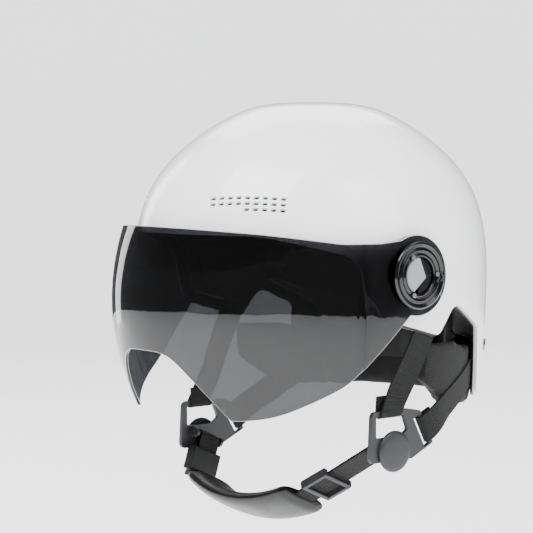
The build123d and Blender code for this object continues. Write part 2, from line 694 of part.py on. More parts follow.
# ---------------------------------------------------------------- assembly
def build_all():
    """Build every node."""
    parts["outer_shell"] = body_of(build_shell())
    edge = shell_region(trim_lip) - shell_region(-trim_height)
    parts["edge_trim"] = body_of(whole(skin(shell_wall, trim_inner, edge)))
    parts["foam_liner"] = body_of(build_liner())
    build_pads()
    build_cradle()
    parts["visor"] = build_visor()
    ring_screws, base_screws, anchor_screws, rivets = [], [], [], []
    for name, side in SIDES.items():
        small, large = build_pivot(name, side)
        ring_screws += small
        base_screws += large
        drop = 0.0 if side == 1 else right_drop
        low = loop_place(0, drop)
        build_straps(name, side, (low.Y - divider_y, low.Z - divider_z))
        screws, studs = build_anchors(name, side)
        anchor_screws += screws
        rivets += studs
        build_divider(name, side, drop)
    parts["ring_screws"] = Compound(ring_screws)
    parts["pivot_screws"] = Compound(base_screws)
    parts["strap_screws"] = Compound(anchor_screws)
    parts["strap_rivets"] = Compound(rivets)
    build_chin_strap()
    build_buckle()


build_all()
os.makedirs("parts", exist_ok=True)
for node, shape in parts.items():
    export_step(shape, f"parts/{node}.step")
    print(f"{node}: {len(shape.solids())} solid(s), {shape.volume:.0f} mm3")
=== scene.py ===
"""Looks of a half-shell riding helmet with a smoke visor, webbing harness, chin pad and buckle.

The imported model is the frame. Sizes in the classes are millimetres, Blender objects are metres.
"""
import logging
from dataclasses import dataclass
from enum import Enum
from math import cos, pi, radians, sin, sqrt
from typing import Callable

import bmesh
import bpy
from mathutils import Matrix, Vector


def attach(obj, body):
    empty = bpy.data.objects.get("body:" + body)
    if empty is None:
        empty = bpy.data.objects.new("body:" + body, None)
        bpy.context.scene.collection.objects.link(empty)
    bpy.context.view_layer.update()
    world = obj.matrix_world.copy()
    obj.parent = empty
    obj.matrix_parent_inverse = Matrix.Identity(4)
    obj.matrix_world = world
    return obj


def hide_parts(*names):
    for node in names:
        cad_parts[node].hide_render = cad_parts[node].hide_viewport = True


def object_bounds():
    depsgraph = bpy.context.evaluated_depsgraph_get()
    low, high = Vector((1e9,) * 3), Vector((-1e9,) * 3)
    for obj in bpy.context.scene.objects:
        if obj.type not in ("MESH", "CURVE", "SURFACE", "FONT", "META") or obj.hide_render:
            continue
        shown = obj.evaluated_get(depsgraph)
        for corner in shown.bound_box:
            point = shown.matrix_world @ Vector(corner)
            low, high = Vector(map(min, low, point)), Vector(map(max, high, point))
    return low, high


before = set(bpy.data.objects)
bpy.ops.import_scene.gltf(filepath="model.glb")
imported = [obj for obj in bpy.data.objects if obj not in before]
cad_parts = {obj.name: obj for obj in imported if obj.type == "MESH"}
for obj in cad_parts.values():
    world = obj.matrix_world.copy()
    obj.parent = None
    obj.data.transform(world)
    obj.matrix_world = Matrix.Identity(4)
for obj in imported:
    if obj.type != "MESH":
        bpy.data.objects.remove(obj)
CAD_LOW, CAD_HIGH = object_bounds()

MM = 0.001
LOG = logging.getLogger("helmet")
Point = tuple[float, float]
Section = Callable[[float, float], Point]


# ---------------------------------------------------------------- material tools
def linear(code: str) -> tuple[float, float, float, float]:
    """Turns an sRGB hex colour into linear RGBA.

    Args:
        code: six hex digits.

    Returns:
        Linear red, green, blue and an alpha of 1.
    """
    parts = [int(code[i:i + 2], 16) / 255 for i in (0, 2, 4)]
    low = [c / 12.92 if c <= 0.04045 else ((c + 0.055) / 1.055) ** 2.4 for c in parts]
    return (low[0], low[1], low[2], 1.0)


def add_node(tree: bpy.types.NodeTree, kind: str, settings: dict | None = None,
             links: dict | None = None) -> bpy.types.Node:
    """Adds a node with its settings and its incoming links.

    Args:
        tree: the node tree.
        kind: the node's type name.
        settings: property names, or input names and numbers, with their values.
        links: input names or numbers with the output sockets that feed them.

    Returns:
        The new node.
    """
    node = tree.nodes.new(kind)
    for key, value in (settings or {}).items():
        if isinstance(key, int) or (key in node.inputs and not hasattr(node, key)):
            node.inputs[key].default_value = value
        else:
            setattr(node, key, value)
    for key, socket in (links or {}).items():
        tree.links.new(socket, node.inputs[key])
    return node


@dataclass(frozen=True)
class Finish:
    """A surface with slow tone drift, uneven gloss and a fine relief."""

    name: str
    colour: str
    shade: str
    roughness: float
    patch_mm: float = 30.0
    gloss_drift: float = 0.04
    relief_mm: float = 0.02
    metallic: float = 0.0
    ior: float = 1.5
    coat: float = 0.0
    coat_roughness: float = 0.05
    sheen: float = 0.0
    sheen_roughness: float = 0.5

    def coordinates(self, tree: bpy.types.NodeTree) -> bpy.types.NodeSocket:
        """Place of each point of the piece, in metres."""
        return add_node(tree, "ShaderNodeTexCoord").outputs["Object"]

    def noise(self, tree: bpy.types.NodeTree, place: bpy.types.NodeSocket, size_mm: float,
              detail: float = 3.0) -> bpy.types.NodeSocket:
        """Soft noise with features of a real size.

        Args:
            tree: the node tree.
            place: coordinates in metres.
            size_mm: distance between features.
            detail: finer layers added.

        Returns:
            A value around one half.
        """
        node = add_node(tree, "ShaderNodeTexNoise",
                        {"Scale": 1 / (size_mm * MM), "Detail": detail}, {"Vector": place})
        return node.outputs["Fac"]

    def relief(self, tree: bpy.types.NodeTree, place: bpy.types.NodeSocket) -> bpy.types.NodeSocket:
        """Height pattern between 0 and 1; each kind of surface has its own."""
        return self.noise(tree, place, 2.0)

    def material(self) -> bpy.types.Material:
        """Builds the material once and returns it after that."""
        made = bpy.data.materials.get(self.name)
        if made:
            return made
        made = bpy.data.materials.new(self.name)
        made.use_nodes = True
        tree = made.node_tree
        tree.nodes.clear()
        place = self.coordinates(tree)
        patch = self.noise(tree, place, self.patch_mm)
        height = self.relief(tree, place)
        tone = add_node(tree, "ShaderNodeMix",
                        {"data_type": "RGBA", 6: linear(self.shade), 7: linear(self.colour)},
                        {0: self.weight(tree, patch, height)})
        gloss = add_node(tree, "ShaderNodeMapRange", {
            "From Min": 0.3, "From Max": 0.7, "To Min": max(self.roughness - self.gloss_drift, 0.01),
            "To Max": self.roughness + self.gloss_drift}, {"Value": patch})
        bump = add_node(tree, "ShaderNodeBump", {"Strength": 1.0, "Distance": self.relief_mm * MM},
                        {"Height": height})
        shader = add_node(tree, "ShaderNodeBsdfPrincipled", {
            "Metallic": self.metallic, "IOR": self.ior, "Coat Weight": self.coat,
            "Coat Roughness": self.coat_roughness, "Sheen Weight": self.sheen,
            "Sheen Roughness": self.sheen_roughness,
        }, {"Base Color": tone.outputs[2], "Roughness": gloss.outputs["Result"],
            "Normal": bump.outputs["Normal"]})
        self.finish_shader(shader)
        add_node(tree, "ShaderNodeOutputMaterial", links={"Surface": shader.outputs["BSDF"]})
        return made

    def weight(self, tree: bpy.types.NodeTree, patch: bpy.types.NodeSocket,
               height: bpy.types.NodeSocket) -> bpy.types.NodeSocket:
        """How much of the main colour shows: the slow patches alone."""
        return patch

    def finish_shader(self, shader: bpy.types.Node) -> None:
        """Settings of one kind of surface on the shader; none here."""


@dataclass(frozen=True)
class MouldedPlastic(Finish):
    """Injection-moulded plastic: orange peel when glossy, spark grain when matte."""

    grain_mm: float = 1.2

    def relief(self, tree: bpy.types.NodeTree, place: bpy.types.NodeSocket) -> bpy.types.NodeSocket:
        """Even fine grain of the mould's surface."""
        return self.noise(tree, place, self.grain_mm, 2.0)


@dataclass(frozen=True)
class BeadFoam(Finish):
    """Expanded polystyrene: packed beads, with painted shade in the seams between them."""

    bead_mm: float = 4.0

    def relief(self, tree: bpy.types.NodeTree, place: bpy.types.NodeSocket) -> bpy.types.NodeSocket:
        """Rounded beads from the distance to the cell walls."""
        cells = add_node(tree, "ShaderNodeTexVoronoi", {
            "feature": "DISTANCE_TO_EDGE", "Scale": 1 / (self.bead_mm * MM)}, {"Vector": place})
        beads = add_node(tree, "ShaderNodeMapRange", {"From Max": 0.18}, {"Value": cells.outputs["Distance"]})
        return beads.outputs[0]

    def weight(self, tree: bpy.types.NodeTree, patch: bpy.types.NodeSocket,
               height: bpy.types.NodeSocket) -> bpy.types.NodeSocket:
        """Painted shade: the beads are coloured lighter than the seams between them."""
        return height


@dataclass(frozen=True)
class KnitCloth(Finish):
    """Warp-knitted mesh lining: small raised loops in offset rows."""

    loop_mm: float = 1.7

    def relief(self, tree: bpy.types.NodeTree, place: bpy.types.NodeSocket) -> bpy.types.NodeSocket:
        """Product of two slanted wave fields, broken a little by yarn fuzz."""
        fields = []
        for turn in (radians(38), radians(-38)):
            turned = add_node(tree, "ShaderNodeMapping", {"Rotation": (turn, turn, 0.6)}, {"Vector": place})
            wave = add_node(tree, "ShaderNodeTexWave", {
                "Scale": 0.314 / (self.loop_mm * MM), "Distortion": 0.6, "Detail": 1.0,
                "Detail Scale": 2.0}, {"Vector": turned.outputs[0]})
            fields.append(wave.outputs["Fac"])
        loops = add_node(tree, "ShaderNodeMath", {"operation": "MULTIPLY"}, {0: fields[0], 1: fields[1]})
        fuzz = self.noise(tree, place, 0.7)
        return add_node(tree, "ShaderNodeMath", {"operation": "MULTIPLY_ADD", 1: 0.3},
                        {0: fuzz, 2: loops.outputs[0]}).outputs[0]

    def weight(self, tree: bpy.types.NodeTree, patch: bpy.types.NodeSocket,
               height: bpy.types.NodeSocket) -> bpy.types.NodeSocket:
        """Raised loops catch more light than the gaps."""
        return height


@dataclass(frozen=True)
class RibbedWebbing(Finish):
    """Woven polypropylene webbing with ribs across it, laid along the piece's own UV map, with painted shade
    in the grooves between the ribs.
    """

    rib_mm: float = 1.5
    yarn_mm: float = 1.0

    def coordinates(self, tree: bpy.types.NodeTree) -> bpy.types.NodeSocket:
        """Distance along and across the webbing, in metres."""
        return add_node(tree, "ShaderNodeUVMap", {"uv_map": "weave"}).outputs["UV"]

    def relief(self, tree: bpy.types.NodeTree, place: bpy.types.NodeSocket) -> bpy.types.NodeSocket:
        """Ribs across the webbing, each divided into plaited yarns."""
        ribs = add_node(tree, "ShaderNodeTexWave", {
            "bands_direction": "X", "Scale": 0.314 / (self.rib_mm * MM), "Distortion": 0.25,
            "Detail": 1.0, "Detail Scale": 3.0}, {"Vector": place})
        yarns = add_node(tree, "ShaderNodeTexWave", {
            "bands_direction": "Y", "Scale": 0.314 / (self.yarn_mm * MM), "Distortion": 0.5,
            "Detail": 1.0, "Detail Scale": 3.0}, {"Vector": place})
        return add_node(tree, "ShaderNodeMath", {"operation": "MULTIPLY_ADD", 1: 0.35},
                        {0: yarns.outputs["Fac"], 2: ribs.outputs["Fac"]}).outputs[0]

    def weight(self, tree: bpy.types.NodeTree, patch: bpy.types.NodeSocket,
               height: bpy.types.NodeSocket) -> bpy.types.NodeSocket:
        """Painted shade: the crowns of the ribs are coloured lighter than the grooves."""
        return height


@dataclass(frozen=True)
class GrainedLeather(Finish):
    """Embossed synthetic leather: small pebbles with shallow creases."""

    pebble_mm: float = 1.3

    def relief(self, tree: bpy.types.NodeTree, place: bpy.types.NodeSocket) -> bpy.types.NodeSocket:
        """Pebbles from a cell pattern."""
        cells = add_node(tree, "ShaderNodeTexVoronoi", {
            "feature": "SMOOTH_F1", "Scale": 1 / (self.pebble_mm * MM), "Smoothness": 0.4}, {"Vector": place})
        return add_node(tree, "ShaderNodeMath", {"operation": "SUBTRACT", 0: 1.0},
                        {1: cells.outputs["Distance"]}).outputs[0]


@dataclass(frozen=True)
class PlatedSteel(Finish):
    """Zinc-plated steel with fine drawn lines."""

    def relief(self, tree: bpy.types.NodeTree, place: bpy.types.NodeSocket) -> bpy.types.NodeSocket:
        """Fine lines, long in one direction."""
        drawn = add_node(tree, "ShaderNodeMapping", {"Scale": (1.0, 8.0, 8.0)}, {"Vector": place})
        return self.noise(tree, drawn.outputs[0], 3.0)


@dataclass(frozen=True)
class SmokeLens(Finish):
    """Injection-moulded polycarbonate dyed smoke grey: clear, hard-coated, very smooth."""

    def finish_shader(self, shader: bpy.types.Node) -> None:
        """Lets light through, tinted by the base colour."""
        shader.inputs["Transmission Weight"].default_value = 1.0

    def relief(self, tree: bpy.types.NodeTree, place: bpy.types.NodeSocket) -> bpy.types.NodeSocket:
        """Very slow waviness of the moulding."""
        return self.noise(tree, place, 60.0, 0.0)


# Clear-coated white ABS: cool white with a soft highlight and faint orange peel.
SHELL_WHITE = MouldedPlastic("clear_coated_white_abs", "F4F4F6", "F1F1F4", 0.24, patch_mm=70,
                             gloss_drift=0.03, relief_mm=0.004, coat=0.6, coat_roughness=0.06, grain_mm=3.0)
# Extruded soft PVC edge trim: deep black with a dull line of light along its bead.
TRIM_BLACK = MouldedPlastic("extruded_black_pvc", "0E0E10", "0A0A0B", 0.4, relief_mm=0.012, grain_mm=0.8)
# Bead-moulded black polystyrene foam: charcoal, matte, with visible beads and painted shade in the seams.
FOAM_BLACK = BeadFoam("bead_moulded_black_eps", "0F0F11", "060607", 0.85, relief_mm=0.15)
# Warp-knitted polyester lining: soft black with a dusty sheen on the curves.
LINING_BLACK = KnitCloth("knitted_black_polyester", "0D0D0E", "060607", 0.9, relief_mm=0.16, sheen=0.04)
# Spark-eroded black nylon: charcoal with a fine matte grain.
NYLON_BLACK = MouldedPlastic("spark_grained_black_nylon", "121214", "0D0D0F", 0.45, relief_mm=0.03,
                             grain_mm=0.6)
# Soft-touch black rubber: velvety, almost no highlight.
DIAL_RUBBER = MouldedPlastic("moulded_black_rubber", "19191B", "121214", 0.6, relief_mm=0.03, grain_mm=0.7)
# Dyed polycarbonate: smoke grey, mirror-smooth, dark where the lining lies behind it.
VISOR_SMOKE = SmokeLens("dyed_smoke_polycarbonate", "333336", "313134", 0.02, patch_mm=90, gloss_drift=0.004,
                        relief_mm=0.01, ior=1.58)
# Painted highlight on the rounded rim of the polycarbonate lens: light gathers there, so the rim is coloured
# pale grey to show as a thin pale line.
LENS_RIM_HIGHLIGHT = MouldedPlastic("painted_highlight_polycarbonate_rim", "B0B1B4", "A4A5A8", 0.12, patch_mm=25,
                          relief_mm=0.004, grain_mm=2.0, ior=1.58, coat=0.3)
# Polished black acetal: piano black with sharp arcs of light on every rounded step.
PIVOT_BLACK = MouldedPlastic("polished_black_acetal", "08080A", "060607", 0.16, patch_mm=12, gloss_drift=0.03,
                             relief_mm=0.003, grain_mm=1.5, coat=0.4)
# Satin light grey ABS cap.
CAP_GREY = MouldedPlastic("satin_light_grey_abs", "8A8B8D", "828385", 0.38, patch_mm=15, relief_mm=0.01,
                          grain_mm=0.5)
# Zinc-plated steel: cool mid grey with short drawn lines.
STEEL = PlatedSteel("zinc_plated_steel", "A9ABAF", "8C8E92", 0.32, patch_mm=8, relief_mm=0.01, metallic=1.0)
# Woven polypropylene webbing: near black, ribbed across, dull, with painted shade in the grooves.
WEBBING = RibbedWebbing("woven_black_polypropylene", "09090A", "030303", 0.85, relief_mm=0.2, sheen=0.02)
# Bonded nylon thread: black with a small glint.
THREAD = MouldedPlastic("twisted_black_nylon_thread", "242426", "161618", 0.5, relief_mm=0.05, grain_mm=0.4)
# Spark-eroded grey acetal hardware: mid grey face, dull, fine grain.
ACETAL_GREY = MouldedPlastic("spark_grained_grey_acetal", "2B2B2D", "262628", 0.42, patch_mm=14,
                             relief_mm=0.03, grain_mm=0.55)
# Embossed polyurethane leather: satin black with a broad soft highlight.
LEATHER_BLACK = GrainedLeather("embossed_black_pu_leather", "0E0E10", "09090A", 0.34, patch_mm=18,
                               relief_mm=0.09, gloss_drift=0.06)
# Painted studio card: pale, even and matte.
STUDIO_CARD = MouldedPlastic("matte_pale_card", "FAFAFA", "F8F8F8", 0.9, patch_mm=400, relief_mm=0.05,
                             grain_mm=4.0)


# ---------------------------------------------------------------- mesh tools
def dress(piece: bpy.types.Object, finish: Finish) -> None:
    """Gives every face of a piece one finish."""
    slots = piece.material_slots
    if not slots:
        piece.data.materials.append(finish.material())
    for slot in piece.material_slots:
        slot.material = finish.material()


def add_piece(name: str, shape: bmesh.types.BMesh, finish: Finish, crease: float = 40.0) -> bpy.types.Object:
    """Turns a bmesh into a finished object at the origin.

    Args:
        name: the piece's name.
        shape: the mesh, in metres; it is freed.
        finish: its surface.
        crease: edges sharper than this many degrees stay sharp.

    Returns:
        The new object.
    """
    mesh = bpy.data.meshes.new(name)
    for face in shape.faces:
        face.smooth = True
    shape.to_mesh(mesh)
    shape.free()
    mesh.set_sharp_from_angle(angle=radians(crease))
    piece = bpy.data.objects.new(name, mesh)
    bpy.context.scene.collection.objects.link(piece)
    dress(piece, finish)
    LOG.info("built %s with %d faces", name, len(mesh.polygons))
    return piece


def settle(piece: bpy.types.Object, body: str, nodes: tuple[str, ...]) -> bpy.types.Object:
    """Puts a new piece in the frame: hangs it on its body and hides the CAD nodes it stands for."""
    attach(piece, body)
    if nodes:
        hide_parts(*nodes)
    return piece


def joined_copy(node: str) -> bmesh.types.BMesh:
    """A CAD node's mesh with its loose triangles joined and its flat faces made whole."""
    shape = bmesh.new()
    shape.from_mesh(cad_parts[node].data)
    bmesh.ops.remove_doubles(shape, verts=shape.verts, dist=0.004 * MM)
    bmesh.ops.dissolve_limit(shape, angle_limit=radians(0.6), verts=shape.verts, edges=shape.edges)
    bmesh.ops.recalc_face_normals(shape, faces=shape.faces)
    return shape


def soft_edged(name: str, node: str, finish: Finish, body: str, radius_mm: float,
               crease: float = 35.0) -> bpy.types.Object:
    """A copy of a CAD node with small rounded edges that catch the light.

    Args:
        name: the new piece's name.
        node: the CAD node it stands for.
        finish: its surface.
        body: the body it rides on.
        radius_mm: size of the rounding.
        crease: edges sharper than this many degrees are rounded.

    Returns:
        The new object.
    """
    piece = add_piece(name, joined_copy(node), finish)
    rounding = piece.modifiers.new("rounded edges", "BEVEL")
    rounding.width = radius_mm * MM
    rounding.segments = 2
    rounding.limit_method = "ANGLE"
    rounding.angle_limit = radians(crease)
    rounding.harden_normals = False
    rounding.use_clamp_overlap = True
    return settle(piece, body, (node,))


def sweep(name: str, path: list[Vector], across: list[Vector], section: Section, finish: Finish,
          rows: int, ends: bool = True) -> bpy.types.Object:
    """A closed sleeve of any section that follows a path.

    Args:
        name: the piece's name.
        path: points of the middle line, in metres, close together.
        across: unit vectors across the piece, one for each path point.
        section: gives (across, outward) in metres for a share of the length and of the way round.
        finish: its surface.
        rows: faces round the section.
        ends: whether the two ends are closed.

    Returns:
        The new object, with a UV map "weave" in metres along and round it.
    """
    count = len(path)
    reach = [0.0]
    for a, b in zip(path, path[1:]):
        reach.append(reach[-1] + (b - a).length)
    shape = bmesh.new()
    layer = shape.loops.layers.uv.new("weave")
    bmesh.ops.create_grid(shape, x_segments=count - 1, y_segments=rows, size=0.5)
    girth = 2 * abs(section(0.5, 0.0)[0]) or 0.02
    for face in shape.faces:
        for loop in face.loops:
            along_share, round_share = loop.vert.co.x + 0.5, loop.vert.co.y + 0.5
            loop[layer].uv = (along_share * reach[-1], round_share * 2 * girth)
    for vert in shape.verts:
        along_share, round_share = vert.co.x + 0.5, vert.co.y + 0.5
        index = round(along_share * (count - 1))
        forward = path[min(index + 1, count - 1)] - path[max(index - 1, 0)]
        side = across[index]
        outward = forward.cross(side).normalized()
        wide, high = section(reach[index] / reach[-1], round_share)
        vert.co = path[index] + side * wide + outward * high
    bmesh.ops.remove_doubles(shape, verts=shape.verts, dist=0.001 * MM)
    if ends:
        edges = [e for e in shape.edges if e.is_boundary]
        bmesh.ops.holes_fill(shape, edges=edges, sides=0)
    bmesh.ops.recalc_face_normals(shape, faces=shape.faces)
    return add_piece(name, shape, finish, 50)


def flat_section(width_mm: float, thickness_mm: float) -> Section:
    """Section of a flat strap with rounded selvedges."""
    half, high = width_mm * MM / 2, thickness_mm * MM / 2
    round_part = 0.06

    def section(_: float, turn: float) -> Point:
        """Top face, selvedge, lower face, selvedge."""
        side = 1.0 if turn < 0.5 else -1.0
        share = (turn % 0.5) / 0.5
        if share < 1 - round_part:
            return (side * (half - high) * (2 * share / (1 - round_part) - 1), side * high)
        angle = pi * (share - 1 + round_part) / round_part
        return (side * (half - high + high * sin(angle)), side * high * cos(angle))

    return section


def oval_section(width_mm: float, thickness_mm: float) -> Section:
    """Section of a stuffed sleeve: crowned faces, pinched edges, closed ends."""
    half, high = width_mm * MM / 2, thickness_mm * MM / 2

    def section(share: float, turn: float) -> Point:
        """Superellipse that thins out towards both ends."""
        angle = 2 * pi * turn
        flat, up = cos(angle), sin(angle)
        end = min(share, 1 - share) / 0.06
        full = 1.0 if end >= 1 else 0.25 + 0.75 * sqrt(1 - (1 - end) ** 2)
        narrow = 1.0 if end >= 1 else 0.86 + 0.14 * sqrt(1 - (1 - end) ** 2)
        wide = half * narrow * (1 if flat >= 0 else -1) * abs(flat) ** 0.75
        return (wide, high * full * (1 if up >= 0 else -1) * abs(up) ** 0.85)

    return section


def spun(profile: list[Point], centre: Vector, axis: Vector, steps: int = 72) -> bmesh.types.BMesh:
    """A profile of (radius, height) in millimetres turned round an axis.

    Args:
        profile: points from the axis outwards and back, or a closed ring of points.
        centre: place on the axis, in metres.
        axis: unit vector along the height.
        steps: faces round the turn.

    Returns:
        The turned mesh, with outward normals.
    """
    shape = bmesh.new()
    side = axis.orthogonal().normalized()
    corners = [shape.verts.new(centre + side * r * MM + axis * h * MM) for r, h in profile]
    for a, b in zip(corners, corners[1:]):
        shape.edges.new((a, b))
    bmesh.ops.spin(shape, geom=shape.verts[:] + shape.edges[:], cent=centre, axis=axis, angle=2 * pi,
                   steps=steps, use_merge=True)
    bmesh.ops.remove_doubles(shape, verts=shape.verts, dist=0.003 * MM)
    bmesh.ops.recalc_face_normals(shape, faces=shape.faces)
    return shape


def stitches(name: str, places: list[tuple[Vector, Vector, Vector]], body: str,
             length_mm: float = 2.2) -> None:
    """Sewn thread: one small arched bead for each stitch.

    Args:
        name: the piece's name.
        places: middle, direction and outward normal of each stitch.
        body: the body it rides on.
        length_mm: length of one stitch.
    """
    shape = bmesh.new()
    for middle, run, outward in places:
        turn = Matrix((run.normalized(), outward.cross(run).normalized(), outward.normalized())).transposed()
        size = Matrix.Diagonal((length_mm * MM / 2, 0.35 * MM, 0.35 * MM))
        matrix = Matrix.Translation(middle) @ (turn @ size).to_4x4()
        bmesh.ops.create_icosphere(shape, subdivisions=1, radius=1.0, matrix=matrix)
    bmesh.ops.recalc_face_normals(shape, faces=shape.faces)
    settle(add_piece(name, shape, THREAD, 180), body, ())


# ---------------------------------------------------------------- studio
@dataclass
class Studio:
    """Camera, pale floor and soft lights round the helmet."""

    azimuth: float = 49.0
    elevation: float = 4.0
    distance: float = 1.5
    focal_length: float = 137.8
    shift: Point = (-0.0872, 0.0066)
    bowl_radius: float = 3.0
    hang_room: float = 0.16  # the floor lies this far below the helmet, so an open chin strap hangs free
    bowl_height: float = 1.3
    bowl_bend: float = 1.2
    room_glow: float = 2.3
    room_reflection: float = 0.15

    def camera(self) -> None:
        """Places the camera and makes it the scene's own."""
        data = bpy.data.cameras.new("camera")
        data.lens = self.focal_length
        data.sensor_width = 36.0
        data.shift_x, data.shift_y = self.shift
        data.clip_start = 0.05
        turn, lift = radians(self.azimuth), radians(self.elevation)
        back = Vector((sin(turn) * cos(lift), -cos(turn) * cos(lift), sin(lift)))
        camera = bpy.data.objects.new("camera", data)
        camera.location = back * self.distance
        camera.rotation_euler = (-back).to_track_quat("-Z", "Y").to_euler()
        bpy.context.scene.collection.objects.link(camera)
        bpy.context.scene.camera = camera

    def floor(self) -> None:
        """A pale round floor and a low pale wall that curves up from it, which glossy parts don't reflect."""
        ground = Vector((0, 0, CAD_LOW.z - self.hang_room))
        bend = self.bowl_bend
        rim = self.bowl_radius / MM
        disc = spun([(0.0, 0.0), (rim / 2, 0.0), (rim, 0.0)], ground, Vector((0, 0, 1)), 96)
        profile = []
        for step in range(13):
            angle = pi / 2 * step / 12
            profile.append((rim + bend * sin(angle) / MM, bend * (1 - cos(angle)) / MM))
        profile.append((rim + bend / MM, self.bowl_height / MM))
        floor = add_piece("floor", disc, STUDIO_CARD, 180)
        wall = add_piece("backdrop", spun(profile, ground, Vector((0, 0, 1)), 96), STUDIO_CARD, 180)
        wall.visible_glossy = False

    def light(self, name: str, azimuth: float, elevation: float, distance: float, size: Point,
              power: float) -> None:
        """A soft box that faces the helmet.

        Args:
            name: the light's name.
            azimuth: bearing round the helmet, as for the camera, in degrees.
            elevation: height above the horizon, in degrees.
            distance: metres from the middle of the helmet.
            size: width and height in metres.
            power: watts.
        """
        data = bpy.data.lights.new(name, "AREA")
        data.shape = "RECTANGLE"
        data.size, data.size_y = size
        data.energy = power
        turn, lift = radians(azimuth), radians(elevation)
        way = Vector((sin(turn) * cos(lift), -cos(turn) * cos(lift), sin(lift)))
        lamp = bpy.data.objects.new(name, data)
        lamp.location = way * distance
        lamp.rotation_euler = (-way).to_track_quat("-Z", "Y").to_euler()
        bpy.context.scene.collection.objects.link(lamp)

    def build(self) -> None:
        """Builds the camera first, then the floor, the lights and the room's own glow."""
        self.camera()
        self.floor()
        self.light("key softbox", 20, 58, 2.2, (1.6, 1.2), 60)
        self.light("fill softbox", 110, 35, 2.4, (1.2, 1.6), 22)
        self.light("back softbox", 230, 45, 2.4, (1.8, 1.4), 32)
        self.light("side strip", -88, 10, 2.0, (0.5, 1.8), 12)
        self.room()

    def room(self) -> None:
        """An evenly pale room that looks darker in glossy reflections, as a studio does beyond its lamps."""
        world = bpy.data.worlds.new("pale room")
        world.use_nodes = True
        tree = world.node_tree
        tree.nodes.clear()
        ray = add_node(tree, "ShaderNodeLightPath")
        strength = add_node(tree, "ShaderNodeMapRange",
                            {"To Min": self.room_glow, "To Max": self.room_reflection},
                            {"Value": ray.outputs["Is Glossy Ray"]})
        glow = add_node(tree, "ShaderNodeBackground", {"Color": linear("F6F7F9")},
                        {"Strength": strength.outputs["Result"]})
        add_node(tree, "ShaderNodeOutputWorld", links={"Surface": glow.outputs["Background"]})
        bpy.context.scene.world = world


# ---------------------------------------------------------------- shell
@dataclass
class Shell:
    """White outer shell with its moulded vents, edge trim and foam liner."""

    def build(self) -> None:
        """Dresses the shell parts."""
        dress(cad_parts["outer_shell"], SHELL_WHITE)
        dress(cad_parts["edge_trim"], TRIM_BLACK)
        dress(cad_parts["foam_liner"], FOAM_BLACK)


class Side(Enum):
    """The wearer's two sides."""

    LEFT = "left"
    RIGHT = "right"

    @property
    def sign(self) -> int:
        """1 on the left, -1 on the right."""
        return 1 if self is Side.LEFT else -1


# ---------------------------------------------------------------- lining
@dataclass
class Lining:
    """Comfort pads inside the foam liner, blown up by a short cloth simulation."""

    nodes: tuple[str, ...] = ("brow_pad", "rear_pad", "crown_pad", "nape_pad", "left_temple_pad",
                              "right_temple_pad", "left_ear_pad", "right_ear_pad")
    voxel_mm: float = 3.0
    shrink_mm: float = 0.5
    swell_mm: float = 1.4
    pressure: float = 4.0
    last_frame: int = 20
    fill: float = 0.7

    def cushion(self, node: str) -> bpy.types.Object:
        """A remeshed copy of a pad's CAD solid, a little smaller than it."""
        piece = add_piece(f"{node}_cushion", joined_copy(node), LINING_BLACK, 180)
        remesh = piece.modifiers.new("voxels", "REMESH")
        remesh.mode = "VOXEL"
        remesh.voxel_size = self.voxel_mm * MM
        self.apply(piece)
        for vert in piece.data.vertices:
            vert.co -= vert.normal * self.shrink_mm * MM
        return piece

    def apply(self, piece: bpy.types.Object) -> None:
        """Makes the piece's modifiers part of its mesh."""
        graph = bpy.context.evaluated_depsgraph_get()
        mesh = bpy.data.meshes.new_from_object(piece.evaluated_get(graph))
        piece.modifiers.clear()
        old = piece.data
        piece.data = mesh
        bpy.data.meshes.remove(old)
        for face in mesh.polygons:
            face.use_smooth = True
        dress(piece, LINING_BLACK)

    def inflate(self, pieces: list[bpy.types.Object]) -> None:
        """Blows the cushions up together and caps how far any point moves."""
        for piece in pieces:
            cloth = piece.modifiers.new("cloth", "CLOTH")
            cloth.settings.use_pressure = True
            cloth.settings.uniform_pressure_force = self.pressure
            cloth.settings.effector_weights.gravity = 0.0
            cloth.settings.quality = 4
            cloth.collision_settings.use_collision = False
            cloth.point_cache.frame_start = 1
            cloth.point_cache.frame_end = self.last_frame
        for step in range(1, self.last_frame + 1):
            bpy.context.scene.frame_set(step)
        for piece in pieces:
            rest = [v.co.copy() for v in piece.data.vertices]
            self.apply(piece)
            for vert, start in zip(piece.data.vertices, rest):
                move = vert.co - start
                if move.length > self.swell_mm * MM:
                    vert.co = start + move.normalized() * self.swell_mm * MM
        bpy.context.scene.frame_set(1)

    def build(self) -> None:
        pieces = [self.cushion(node) for node in self.nodes]
        self.inflate(pieces)
        for node, piece in zip(self.nodes, pieces):
            smooth = piece.modifiers.new("smooth", "SUBSURF")
            smooth.levels = smooth.render_levels = 1
            settle(piece, "helmet", (node,))


# ---------------------------------------------------------------- visor
@dataclass
class Visor:
    """Smoke lens with polished, light-gathering edges coloured as a painted highlight."""

    edge_mm: float = 0.6
    sharp: float = 50.0
    ridge_y: float = -52.0
    ridge_play: float = 1.2

    def build(self) -> None:
        """Builds the lens and gives its rounded edges, but not the ridge of the arm, a pale painted
        highlight.
        """
        shape = joined_copy("visor")
        weight = shape.edges.layers.float.new("bevel_weight_edge")
        for edge in shape.edges:
            ridge = all(abs(v.co.y / MM - self.ridge_y) < self.ridge_play for v in edge.verts)
            edge[weight] = float(edge.calc_face_angle(0.0) > radians(self.sharp) and not ridge)
        lens = add_piece("visor_lens", shape, VISOR_SMOKE)
        lens.data.materials.append(LENS_RIM_HIGHLIGHT.material())
        rounding = lens.modifiers.new("rounded edges", "BEVEL")
        rounding.width = self.edge_mm * MM
        rounding.segments = 2
        rounding.limit_method = "WEIGHT"
        # the rounded edges take the second material, the pale painted rim highlight
        rounding.material = 1
        settle(lens, "visor", ("visor",))


